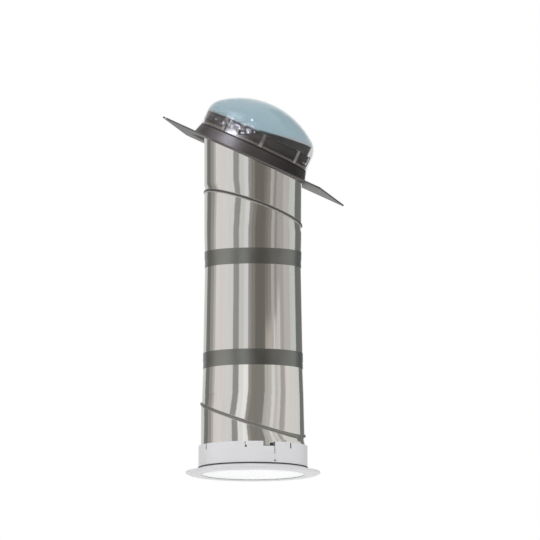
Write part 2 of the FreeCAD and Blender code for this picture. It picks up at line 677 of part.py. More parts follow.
def make_lower_bend():
    """Lower swivelling bend; its ends slip into the extension tube and the ceiling ring."""
    elbow_half("lower_bend_upper_half", "lower", True, [
        ("(lower_seam_height + seam_reach)", BEND_TOP),
        (LOWER_JOINT, BOTTOM_TOP),
        (f"({LOWER_JOINT} + joint_overlap)", f"({BOTTOM_TOP} - {EXTENSION_SLOPE} * joint_overlap)"),
    ])
    elbow_half("lower_bend_lower_half", "lower", False, [
        ("(lower_seam_height - seam_reach)", f"({BOTTOM_RADIUS} - bend_foot_step)"),
        ("bottom_tube_height", BOTTOM_RADIUS),
    ])


def make_tape(label, joint, outer_end, outer_slope, inner_end, inner_slope):
    """Foil tape round a slip joint, stepping down from the outer tube to the inner one."""
    body = new_body(label, CEILING_FRAME)
    half = "tape_width / 2"
    line = [
        (f"{outer_end} - {outer_slope} * {half} + tape_gap", f"{joint} + {half}"),
        (f"{outer_end} + tape_gap", joint),
        (f"{inner_end} + {inner_slope} * tape_step + tape_gap", f"{joint} - tape_step"),
        (f"{inner_end} + {inner_slope} * {half} + tape_gap", f"{joint} - {half}"),
    ]
    back = [(f"{radius} + tape_thickness", height) for radius, height in reversed(line)]
    revolve(body, "band", line + back)


def make_tapes():
    upper_end = "(top_tube_end_diameter / 2)"
    upper_slope = f"(({upper_end} - {TUBE_RADIUS}) / (upper_joint_drop - seam_reach))"
    make_tape("upper_tape", UPPER_JOINT, upper_end, upper_slope, EXTENSION_TOP, EXTENSION_SLOPE)
    lower_slope = f"(({BEND_TOP} - {BOTTOM_TOP}) / (lower_joint_rise - seam_reach))"
    lower_end = "(extension_end_diameter / 2)"
    make_tape("lower_tape", LOWER_JOINT, lower_end, EXTENSION_SLOPE, BOTTOM_TOP, lower_slope)


def make_ceiling_ring():
    """Moulded collar with a flange, slots in its upper edge and a notch that runs down into a split."""
    body = new_body("ceiling_ring", CEILING_FRAME)
    revolve(body, "collar", [
        (RING_INSIDE, "-ring_flange_thickness"),
        (RING_FLANGE, "-ring_flange_thickness"),
        (RING_FLANGE, "0"),
        (RING_OUTSIDE, "0"),
        (RING_OUTSIDE, "ring_height"),
        (RING_INSIDE, "ring_height"),
    ])
    slot = new_sketch(
        body, "slot_sketch", "YZ_Plane", "placement(vector(0; 0; 0); rotationy(ring_slot_turn))"
    )
    outline(slot, [
        ("-ring_slot_width / 2", "ring_height - ring_slot_depth"),
        ("ring_slot_width / 2", "ring_height - ring_slot_depth"),
        ("ring_slot_width / 2", "ring_height + ring_wall"),
        ("-ring_slot_width / 2", "ring_height + ring_wall"),
    ])
    repeat(body, cut(body, "slot", slot, RING_FLANGE, reverse=True), "ring_slot_count")
    notch = new_sketch(
        body, "notch_sketch", "YZ_Plane", "placement(vector(0; 0; 0); rotationy(ring_notch_turn))"
    )
    outline(notch, [
        ("-ring_notch_width / 2", "ring_height - ring_notch_depth"),
        ("ring_notch_width / 2 - ring_split_width", "ring_height - ring_notch_depth"),
        ("ring_notch_width / 2 - ring_split_width", "ring_split_foot"),
        ("ring_notch_width / 2", "ring_split_foot"),
        ("ring_notch_width / 2", "ring_height + ring_wall"),
        ("-ring_notch_width / 2", "ring_height + ring_wall"),
    ])
    cut(body, "notch", notch, RING_FLANGE, reverse=True)


def make_ring_seal():
    """Foam strip between the tube and the collar."""
    body = new_body("ring_seal", CEILING_FRAME)
    inside = f"{BOTTOM_RADIUS} + seal_clearance"
    outside = f"{RING_INSIDE} - seal_clearance"
    revolve(body, "foam", [
        (inside, "seal_height"),
        (outside, "seal_height"),
        (outside, "seal_height + seal_width"),
        (inside, "seal_height + seal_width"),
    ])


def make_diffuser():
    """Snap-in trim with its lens, the lens's gasket and the spring wire that holds it."""
    ledge = f"({UPSTAND_INSIDE} - trim_ledge_width)"
    lip = f"({RING_FLANGE} + trim_clearance)"
    edge = f"({RING_FLANGE} + trim_lap)"
    under_ring = "(-ring_flange_thickness - trim_clearance)"
    trim = new_body("trim_ring", CEILING_FRAME)
    revolve(trim, "trim", [
        (ledge, "-trim_drop"),
        (f"{ledge} + trim_flat_width", "-trim_drop"),
        (edge, "-trim_edge"),
        (edge, "0"),
        (lip, "0"),
        (lip, under_ring),
        (UPSTAND_OUTSIDE, under_ring),
        (UPSTAND_OUTSIDE, "trim_upstand"),
        (UPSTAND_INSIDE, "trim_upstand"),
        (UPSTAND_INSIDE, LEDGE_TOP),
        (ledge, LEDGE_TOP),
    ], {1: (-1, "DistanceX", f"{ledge} + trim_flat_width")})

    gasket = new_body("lens_gasket", CEILING_FRAME)
    revolve(gasket, "gasket_strip", [
        (ledge, LEDGE_TOP),
        (f"{UPSTAND_INSIDE} - lens_clearance", LEDGE_TOP),
        (f"{UPSTAND_INSIDE} - lens_clearance", LENS_FOOT),
        (ledge, LENS_FOOT),
    ])

    lens = new_body("diffuser_lens", CEILING_FRAME)
    revolve(lens, "disc", [
        ("0", f"{LENS_FOOT} - lens_crown"),
        (ledge, LENS_FOOT),
        (f"{UPSTAND_INSIDE} - lens_clearance", LENS_FOOT),
        (f"{UPSTAND_INSIDE} - lens_clearance", LENS_TOP),
        ("0", LENS_TOP),
    ], {0: (-1, "DistanceX", "0")})

    retainer = new_body("lens_retainer", CEILING_FRAME)
    section = new_sketch(retainer, "wire_section", "XZ_Plane")
    circle(
        section, "retainer_wire / 2", x=f"{UPSTAND_INSIDE} - lens_clearance - retainer_wire / 2",
        y=f"{LENS_TOP} + retainer_wire / 2",
    )
    wire = retainer.newObject("PartDesign::Revolution", "wire")
    wire.Profile = section
    wire.ReferenceAxis = (section, ["V_Axis"])
    wire.setExpression("Angle", cells("retainer_turn"))


def check_and_export():
    """Writes every sub-part, once nothing in the document has failed."""
    doc.recompute()
    failed = [item.Name for item in doc.Objects if {"Invalid", "Error"} & set(item.State)]
    if failed:
        raise RuntimeError(f"failed: {failed}")
    bodies = [item for item in doc.Objects if item.TypeId == "PartDesign::Body"]
    for body in bodies:
        if body.Shape.isNull() or not body.Shape.isValid() or not body.Shape.Solids:
            raise RuntimeError(f"{body.Label} has no valid solid")
    os.makedirs("parts", exist_ok=True)
    for body in bodies:
        body.Shape.exportStep(f"parts/{body.Label}.step")
        print(f"{body.Label}: {len(body.Shape.Solids)} solids, {body.Shape.Volume:.1f} mm3")


make_flashing()
make_dome()
make_dome_fasteners()
make_dome_spacers()
make_hanger()
make_upper_bend()
make_extension()
make_lower_bend()
make_tapes()
make_ceiling_ring()
make_ring_seal()
make_diffuser()
check_and_export()
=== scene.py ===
"""Finishes, small fittings and a plain studio for a tubular skylight, round its CAD model."""

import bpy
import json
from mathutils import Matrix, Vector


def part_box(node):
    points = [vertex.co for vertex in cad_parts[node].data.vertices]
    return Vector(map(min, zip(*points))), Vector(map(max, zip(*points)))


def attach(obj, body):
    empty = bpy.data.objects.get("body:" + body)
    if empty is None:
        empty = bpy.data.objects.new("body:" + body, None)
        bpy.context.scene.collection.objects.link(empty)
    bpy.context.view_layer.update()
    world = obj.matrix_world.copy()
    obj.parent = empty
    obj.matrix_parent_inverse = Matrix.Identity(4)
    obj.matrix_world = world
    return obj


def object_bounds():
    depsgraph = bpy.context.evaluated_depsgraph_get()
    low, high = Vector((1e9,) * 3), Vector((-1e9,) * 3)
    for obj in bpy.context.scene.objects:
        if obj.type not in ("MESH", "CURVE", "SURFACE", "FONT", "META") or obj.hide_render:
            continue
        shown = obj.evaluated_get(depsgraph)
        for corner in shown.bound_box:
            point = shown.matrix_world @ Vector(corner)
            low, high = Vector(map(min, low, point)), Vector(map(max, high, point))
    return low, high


bl_info = {
    "name": "Tubular Skylight",
    "version": (1, 0, 0),
    "blender": (4, 5, 0),
    "location": "3D View > Sidebar > Skylight",
    "description": "Dresses a tubular skylight: dome, flashing, reflective tube and ceiling ring",
    "category": "Object",
}

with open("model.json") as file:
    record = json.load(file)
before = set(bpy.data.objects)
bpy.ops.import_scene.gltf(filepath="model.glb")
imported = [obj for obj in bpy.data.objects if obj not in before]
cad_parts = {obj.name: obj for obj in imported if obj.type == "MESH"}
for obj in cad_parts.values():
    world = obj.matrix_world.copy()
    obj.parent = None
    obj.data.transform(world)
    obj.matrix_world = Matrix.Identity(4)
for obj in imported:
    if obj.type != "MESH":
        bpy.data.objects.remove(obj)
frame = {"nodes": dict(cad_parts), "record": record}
CAD_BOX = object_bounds()

import json
import math

import bmesh
import bpy
from bpy.props import FloatProperty, FloatVectorProperty, PointerProperty
from mathutils import Matrix, Vector

NODES = frame["nodes"]
MOUNTS = {mount["name"]: mount for mount in frame["record"]["mounts"]}
JOINTS = frame["record"]["behaviour"]["joints"]

# The roof's plane, and the axis on which turret and dome stand
ROOF_NORMAL = Vector(MOUNTS["roof_corner_fixings"]["axis"]).normalized()
ROOF_PITCH = math.atan2(ROOF_NORMAL.x, ROOF_NORMAL.z)
ROOF_POINT = Vector(MOUNTS["roof_corner_fixings"]["pos_m"])
HANGER_MIDDLE = sum((Vector(corner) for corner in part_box("hanger_gasket")), Vector()) / 2
TURRET_FOOT = HANGER_MIDDLE - ROOF_NORMAL * (HANGER_MIDDLE - ROOF_POINT).dot(ROOF_NORMAL)
TURRET_FRAME = Matrix.Translation(TURRET_FOOT) @ Matrix.Rotation(ROOF_PITCH, 4, "Y")

# The ceiling ring's collar and the diffuser, round the tube's axis
COLLAR_RADIUS = MOUNTS["ceiling_collar"]["dims"]["r_mm"] / 1000
LENS_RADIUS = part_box("diffuser_lens")[1][0]

# The photograph's frame, in pixels, and what it shows of the object there
PICTURE_SIDE = 540
TUBE_AXIS_PIXEL = 253
FLANGE_PIXEL = 472

# CAD nodes that share a finish
LOWER_BEND = ("lower_bend_upper_half", "lower_bend_lower_half")
TUBE = ("upper_bend_upper_half", "upper_bend_lower_half", "extension_tube", *LOWER_BEND)
TAPES = ("upper_tape", "lower_tape")
STEEL_PARTS = ("dome_screws", "hanger_screws", "lens_retainer")
RUBBER_PARTS = ("dome_washers", "hanger_gasket", "lens_gasket")
WHITE_PARTS = ("ceiling_ring", "trim_ring")

# Between which distances a finish changes, in metres from the place that the name gives
SEAM_STRIPE_FADE = (0.0, 0.0016)
SEAM_BEAD_FADE = (0.004, 0.006)
TURRET_LOW_SIDE = (0.01, 0.135)
DOME_RIM_FADE = (0.0, 0.0015)
DOME_RIM_TO_CRINKLES = (0.002, 0.012)
SKIRT_TOP_TO_SMOOTH = (0.022, 0.05)
LEDGE_FADE = (0.0012, 0.0026)
SKIRT_TOP_TO_FOLD = (-0.004, -0.002)
LENS_DIM_START = 0.6 * LENS_RADIUS

# Between which values of a pattern it goes from dark to light
LINE_CONTRAST = (0.3, 0.7)
GRID_CONTRAST = (0.02, 0.4)

ACRYLIC_IOR = 1.49
WHITE = (1.0, 1.0, 1.0)

# A Mix node's sockets share their names with those of other types, so its colours go by number
MIX_SHARE = 0
MIX_FIRST = 6
MIX_SECOND = 7
MIX_RESULT = 2

# What the bright sheet mirrors: tall cards, by bearing in degrees from the camera.
# Each has its start, end, brightness and tint
WARM = (1.0, 0.95, 0.86)
PINK = (1.0, 0.965, 0.95)
COOL = (0.95, 1.0, 0.97)
CARD_TOP = 4.5
CARD_DISTANCE = 3.2
REFLECTION_CARDS = (
    (-180, -139, 0.80, WHITE),
    (-139, -119, 0.26, COOL),
    (-119, -106, 0.46, WARM),
    (-106, -98, 0.68, WHITE),
    (-98, -70, 1.04, PINK),
    (-70, -47, 1.0, WHITE),
    (-47, -33, 0.44, WHITE),
    (-33, -22, 0.90, COOL),
    (-22, -11, 1.0, WHITE),
    (-11, -4, 0.44, WHITE),
    (-4, 5, 0.34, WARM),
    (5, 28, 0.23, WARM),
    (28, 35, 0.30, WARM),
    (35, 43, 0.37, WARM),
    (43, 51, 0.64, WHITE),
    (51, 58, 0.44, WARM),
    (58, 76, 0.58, PINK),
    (76, 96, 0.72, PINK),
    (96, 118, 0.86, COOL),
    (118, 160, 0.24, COOL),
)
# The cards between these bearings leave the flashing dark
FLASHING_SHADE = (43, 118)

# Glows before the cards, which add to them: start, end, brightness, tint and top.
# Then come their distance and the only pieces that mirror them
ON_EXTENSION = (3.1, ("extension_tube",))
ON_LOWER_BEND = (3.0, LOWER_BEND)
GLOWS = (
    (28, 43, 0.36, WARM, 0.79, *ON_EXTENSION),
    (49, 57, 0.42, WHITE, 0.81, *ON_EXTENSION),
    (57, 66, 0.32, WHITE, 0.86, *ON_EXTENSION),
    (-33, -10, 0.26, WHITE, CARD_TOP, *ON_LOWER_BEND),
    (5, 26, 0.10, COOL, CARD_TOP, *ON_LOWER_BEND),
    (26, 48, 0.38, COOL, CARD_TOP, *ON_LOWER_BEND),
    (48, 65, 0.38, WHITE, CARD_TOP, *ON_LOWER_BEND),
    (79, 96, 0.32, PINK, CARD_TOP, *ON_LOWER_BEND),
    (96, 118, 0.14, PINK, CARD_TOP, *ON_LOWER_BEND),
    (118, 130, 0.70, PINK, CARD_TOP, *ON_LOWER_BEND),
)

# Bright cards high on the left: name, half side, brightness, distance and the node that mirrors it
HIGH_CARDS = (
    ("sheen_card", 0.6, 31, 2.9, "flashing"),
    ("spark_card", 0.9, 42, CARD_DISTANCE, "dome"),
)

# Lamps: name, bearing in degrees from the camera, height and power
LAMPS = (
    ("key_lamp", -38, 2.3, 34),
    ("fill_lamp", 62, 1.4, 14),
    ("back_lamp", 170, 2.2, 22),
)


class Value:
    """A node's output that takes part in Python sums, each of which adds a Math node."""

    def __init__(self, nodes, socket):
        self.nodes = nodes
        self.socket = socket

    def __add__(self, other):
        return self.nodes.maths("ADD", self, other)

    __radd__ = __add__

    def __sub__(self, other):
        return self.nodes.maths("SUBTRACT", self, other)

    def __rsub__(self, other):
        return self.nodes.maths("SUBTRACT", other, self)

    def __mul__(self, other):
        return self.nodes.maths("MULTIPLY", self, other)

    __rmul__ = __mul__

    def __abs__(self):
        return self.nodes.maths("ABSOLUTE", self)


class Nodes:
    """A node tree, and the ways to add to it."""

    def __init__(self, tree):
        self.tree = tree

    def feed(self, socket, value):
        """Sets a socket to a number or colour, or links another node's output to it."""
        if isinstance(value, Value):
            self.tree.links.new(value.socket, socket)
        elif socket.type == "RGBA":
            socket.default_value = (*value[:3], 1.0)
        else:
            socket.default_value = value

    def node(self, kind, settings=None, inputs=None, output=0):
        """Adds a node: its settings first, then what goes into its sockets."""
        node = self.tree.nodes.new(kind)
        for name, setting in (settings or {}).items():
            setattr(node, name, setting)
        for socket, value in (inputs or {}).items():
            self.feed(node.inputs[socket], value)
        return Value(self, node.outputs[output])

    def maths(self, operation, *numbers):
        """Works on single numbers."""
        return self.node("ShaderNodeMath", {"operation": operation}, dict(enumerate(numbers)))

    def vectors(self, operation, *vectors, output="Vector", **more):
        """Works on vectors, such as their difference or their dot product."""
        sockets = {**dict(enumerate(vectors)), **more}
        return self.node("ShaderNodeVectorMath", {"operation": operation}, sockets, output)

    def backdrop_strength(self, shown, lit):
        """A strength: one for rays that show the backdrop, one for the light that it gives."""
        seen = self.node("ShaderNodeLightPath", output="Is Camera Ray")
        for name in ("Is Glossy Ray", "Is Transmission Ray"):
            seen = self.maths("MAXIMUM", seen, self.node("ShaderNodeLightPath", output=name))
        sockets = {"Value": seen, "To Min": lit, "To Max": shown}
        return self.node("ShaderNodeMapRange", None, sockets)


class Finish(Nodes):
    """A material with one Principled shader, and the nodes that vary it over the surface."""

    def __init__(self, name, fixed=None):
        self.material = bpy.data.materials.new(name)
        self.material.use_nodes = True
        super().__init__(self.material.node_tree)
        self.shader = self.tree.nodes["Principled BSDF"]
        for socket, value in (fixed or {}).items():
            self.set(socket, value)

    def set(self, socket, value):
        """Sets a socket of the shader, to a number or colour or to another node's output."""
        self.feed(self.shader.inputs[socket], value)

    def place(self, scale=(1, 1, 1), turn=(0, 0, 0), centre=(0, 0, 0)):
        """The point on the surface from a centre, turned and stretched for a pattern."""
        point = self.node("ShaderNodeTexCoord", output="Object")
        from_centre = self.vectors("SUBTRACT", point, centre)
        sockets = {"Vector": from_centre, "Rotation": turn, "Scale": scale}
        return self.node("ShaderNodeMapping", {"vector_type": "VECTOR"}, sockets)

    def in_roof(self, axis):
        """The point's place from the turret's foot: X is down the slope, Z is above the roof."""
        point = self.place(turn=(0, -ROOF_PITCH, 0), centre=TURRET_FOOT)
        return self.node("ShaderNodeSeparateXYZ", None, {"Vector": point}, output=axis)

    def off_plane(self, centre, axis):
        """How far the point lies from a plane, on either side."""
        return abs(self.vectors("DOT_PRODUCT", self.place(centre=centre), axis, output="Value"))

    def off_axis(self):
        """The level direction from the tube's axis to the point, which turns with the piece."""
        outwards = self.place(scale=(1, 1, 0))
        settings = {"vector_type": "NORMAL", "convert_from": "OBJECT", "convert_to": "WORLD"}
        return self.node("ShaderNodeVectorTransform", settings, {"Vector": outwards})

    def noise(self, scale=1.0, detail=2.0, stretch=(1, 1, 1)):
        """An uneven pattern from 0 to 1."""
        sockets = {"Vector": self.place(scale=stretch), "Scale": scale, "Detail": detail}
        return self.node("ShaderNodeTexNoise", None, sockets)

    def spread(self, value, low, high, start, end):
        """Goes smoothly from start to end while a value goes from low to high."""
        sockets = {
            "Value": value, "From Min": low, "From Max": high, "To Min": start, "To Max": end,
        }
        return self.node("ShaderNodeMapRange", {"interpolation_type": "SMOOTHSTEP"}, sockets)

    def rise(self, value, low, high):
        """A mask that is 0 up to low and 1 from high."""
        return self.spread(value, low, high, 0.0, 1.0)

    def fall(self, value, low, high, end=0.0):
        """A mask that is 1 up to low and goes down to its end at high."""
        return self.spread(value, low, high, 1.0, end)

    def blend(self, share, first, second):
        """A colour between two colours."""
        sockets = {MIX_SHARE: share, MIX_FIRST: first, MIX_SECOND: second}
        return self.node("ShaderNodeMix", {"data_type": "RGBA"}, sockets, MIX_RESULT)

    def tone(self, share, colour, dark, light=1.0):
        """A colour between a darker and a lighter shade of itself."""
        return self.blend(share, shade(colour, dark), shade(colour, light))

    def emboss(self, height, strength, distance, normal=None):
        """Lets a height show as relief, on the surface or on a direction that is given for it."""
        sockets = {"Height": height, "Strength": strength, "Distance": distance}
        if normal is not None:
            sockets["Normal"] = normal
        self.set("Normal", self.node("ShaderNodeBump", None, sockets))

    def facets(self, scale, lean):
        """Lets small facets show, each leaning its own way."""
        sockets = {"Vector": self.place(), "Scale": scale}
        random = self.node("ShaderNodeTexVoronoi", {"feature": "F1"}, sockets, output="Color")
        middle = (0.5, 0.5, 0.5)
        aside = self.vectors("SUBTRACT", random, middle)
        tilt = self.vectors("SCALE", aside, Scale=lean)
        straight = self.node("ShaderNodeNewGeometry", output="Normal")
        leaning = self.vectors("ADD", straight, tilt)
        self.set("Normal", self.vectors("NORMALIZE", leaning))


def shade(colour, factor):
    """A colour made darker or lighter."""
    return tuple(channel * factor for channel in colour)


def past(level, steps):
    """Levels that lie some steps past another one."""
    return [level + step for step in steps]


def sizes():
    return bpy.context.scene.skylight_sizes


def colours():
    return bpy.context.scene.skylight_colours


def bright_sheet():
    """Rolled sheet, nearly a mirror: faint lines along the tube, slight waves, and duller seams
    darkened with painted shade.
    """
    colour = colours().bright_sheet
    smooth = 0.05
    line_roughness = 0.07
    bead_roughness = 0.35
    line_relief = 0.06
    finish = Finish("bright_sheet", {"Metallic": 1.0})
    lines = finish.noise(stretch=(90, 90, 1.5), detail=3.0)
    waves = finish.noise(stretch=(5, 5, 7), detail=1.0)
    sheet = finish.tone(finish.rise(lines, *LINE_CONTRAST), colour, dark=0.95)
    roughness = smooth + line_roughness * lines
    for joint, half, brightness in zip(JOINTS, sizes().fold_halves, sizes().fold_shades):
        off_seam = finish.off_plane(joint["pos_m"], joint["axis"])
        # Painted shade: a dark stripe along each seam's fold; the bead round it is also made
        # rougher
        stripe = finish.fall(off_seam, *past(half, SEAM_STRIPE_FADE))
        sheet = finish.blend(stripe, sheet, shade(colour, brightness))
        roughness = roughness + bead_roughness * finish.fall(off_seam, *SEAM_BEAD_FADE)
    finish.set("Base Color", sheet)
    finish.set("Roughness", roughness)
    finish.emboss(waves + line_relief * lines, strength=0.12, distance=0.004)
    return finish.material


def foil_tape():
    """Satin foil tape with fine creases, pressed so tight that its small step doesn't glint."""
    smooth = 0.28
    blotch_roughness = 0.1
    finish = Finish("foil_tape", {"Metallic": 1.0})
    creases = finish.noise(stretch=(14, 14, 160), detail=4.0)
    blotches = finish.noise(scale=30.0, detail=3.0)
    finish.set("Base Color", finish.tone(blotches, colours().foil_tape, dark=0.88, light=1.1))
    finish.set("Roughness", smooth + blotch_roughness * blotches)
    finish.emboss(creases, strength=0.25, distance=0.0004, normal=finish.off_axis())
    return finish.material


def clear_acrylic():
    """Acrylic: a clear skirt with a thicker rim, a band of leaning prisms, and a tinted crown."""
    size = sizes()
    low_side_clearer = 0.8
    crown_lean = 0.12
    finish = Finish("clear_acrylic", {"Roughness": 0.09, "IOR": ACRYLIC_IOR})
    height = finish.in_roof("Z")
    low_side = finish.rise(finish.in_roof("X"), *TURRET_LOW_SIDE)
    crown_height = height - size.clear_rise * low_side
    crown = finish.rise(crown_height, size.skirt_top, size.skirt_top + size.tint_rise)
    rim = finish.fall(height, *past(size.rim_top, DOME_RIM_FADE))
    edge_on = finish.node("ShaderNodeLayerWeight", None, {"Blend": 0.3}, output="Facing")
    tint = finish.tone(finish.noise(scale=22.0), colours().acrylic, dark=0.94, light=1.06)
    # The rim is a real, thicker bead; its pale colour and extra cover are painted highlight along
    # it
    clear = finish.blend(rim, colours().clear_skirt, colours().clear_rim)
    finish.set("Base Color", finish.blend(crown, clear, tint))
    band = finish.rise(height, *past(size.rim_top, DOME_RIM_TO_CRINKLES))
    band_cover = size.band_alpha * band * (1 - low_side_clearer * low_side)
    skirt_cover = size.skirt_alpha + band_cover + size.edge_alpha * edge_on
    crown_cover = size.crown_alpha * crown
    finish.set("Alpha", skirt_cover * (1 - crown) + crown_cover + size.rim_alpha * rim)
    upwards = finish.fall(height, *past(size.skirt_top, SKIRT_TOP_TO_SMOOTH), crown_lean)
    finish.facets(size.prism_count, size.prism_lean * band * upwards)
    return finish.material


def dark_sheet():
    """Bronze-grey satin coat with faint drawing marks, dull on the ledge's edge and top fold, where
    painted shade darkens it.
    """
    size = sizes()
    colour = colours().dark_sheet
    painted_shade_colour = shade(colour, 0.2)
    metallic = 0.6
    smooth = 0.26
    mark_roughness = 0.12
    dull_roughness = 0.3
    finish = Finish("dark_sheet", {"Specular Tint": (0.4, 0.4, 0.4)})
    height = finish.in_roof("Z")
    marks = finish.noise(stretch=(3, 60, 60), detail=3.0)
    coat = finish.tone(finish.noise(scale=9.0), colour, dark=0.88, light=1.1)
    # Painted shade: a dark line on the ledge's edge under the dome's rim and on the top fold inside
    # the dome, where the coat is also duller
    ledge = finish.fall(abs(height - size.ledge_height), *LEDGE_FADE)
    top_fold = finish.rise(height, *past(size.skirt_top, SKIRT_TOP_TO_FOLD))
    dull_and_shaded = ledge + top_fold
    finish.set("Base Color", finish.blend(dull_and_shaded, coat, painted_shade_colour))
    finish.set("Metallic", metallic - metallic * dull_and_shaded)
    finish.set("Roughness", smooth + mark_roughness * marks + dull_roughness * dull_and_shaded)
    finish.emboss(marks, strength=0.12, distance=0.0005)
    return finish.material


def plain_metal(name, colour, roughness):
    """Small steel fittings: a brushed grain and a few duller patches."""
    grain_roughness = 0.15
    finish = Finish(name, {"Metallic": 1.0})
    grain = finish.noise(stretch=(400, 400, 60))
    finish.set("Base Color", finish.tone(finish.noise(scale=120.0), colour, dark=0.8))
    finish.set("Roughness", roughness + grain_roughness * grain)
    return finish.material


def moulded(name, colour, roughness, grain_size, relief):
    """Moulded plastic, rubber or foam: an even colour with a fine grain."""
    grain_roughness = 0.08
    finish = Finish(name)
    grain = finish.noise(scale=1.0 / grain_size, detail=3.0)
    finish.set("Base Color", finish.tone(finish.noise(scale=14.0), colour, dark=0.96, light=1.03))
    finish.set("Roughness", roughness + grain_roughness * grain)
    finish.emboss(grain, strength=0.2, distance=relief)
    return finish.material


def opal_lens():
    """Opal diffuser lit with painted light: it glows as if it passed daylight on, with a prismatic
    grid on its face and a dimmer edge.
    """
    colour = colours().lens
    edge_colour = shade(colour, 0.45)
    edge_share = 0.5
    fixed = {"Roughness": 0.35, "IOR": ACRYLIC_IOR, "Emission Strength": sizes().lens_glow}
    finish = Finish("opal_lens", fixed)
    sockets = {"Vector": finish.place(), "Scale": sizes().lens_grid}
    across, along = (
        finish.node("ShaderNodeTexWave", {"bands_direction": axis}, sockets, output="Fac")
        for axis in "XY"
    )
    grid = finish.rise(across * along, *GRID_CONTRAST)
    radius = finish.vectors("LENGTH", finish.place(scale=(1, 1, 0)), output="Value")
    edge = finish.rise(radius, LENS_DIM_START, LENS_RADIUS)
    finish.set("Base Color", finish.tone(grid, colour, dark=0.86))
    # Painted light: an emission glow that stands in for daylight, patterned by the grid and dimmed
    # by painted shade towards the edge
    glow = finish.tone(grid, colour, dark=0.55)
    finish.set("Emission Color", finish.blend(edge * edge_share, glow, edge_colour))
    finish.emboss(grid, strength=0.3, distance=0.0006)
    return finish.material


def dress(names, material):
    """Gives CAD nodes their finish."""
    for name in names:
        slots = NODES[name].material_slots
        if not slots:
            raise RuntimeError(f"{name} has no material slot")
        for slot in slots:
            slot.material = material


def add_mesh(name, bm, material):
    """An object at the origin, made from a bmesh that is done with."""
    mesh = bpy.data.meshes.new(name)
    bm.to_mesh(mesh)
    bm.free()
    mesh.materials.append(material)
    thing = bpy.data.objects.new(name, mesh)
    bpy.context.scene.collection.objects.link(thing)
    return thing


def new_piece(name, mesh_maker, material, body):
    """A finished piece: its mesh in place, its finish, and the body that it moves with."""
    bm = bmesh.new()
    mesh_maker(bm)
    bmesh.ops.recalc_face_normals(bm, faces=bm.faces)
    piece = add_mesh(name, bm, material)
    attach(piece, body)


def on_collar(turn, height, stand):
    """The frame of a point that stands off the ceiling ring's collar: Z outwards, Y up."""
    outwards = Vector((math.cos(turn), math.sin(turn), 0))
    along = Vector((-math.sin(turn), math.cos(turn), 0))
    axes = Matrix((along, Vector((0, 0, 1)), outwards)).transposed().to_4x4()
    return Matrix.Translation(outwards * (COLLAR_RADIUS + stand) + Vector((0, 0, height))) @ axes


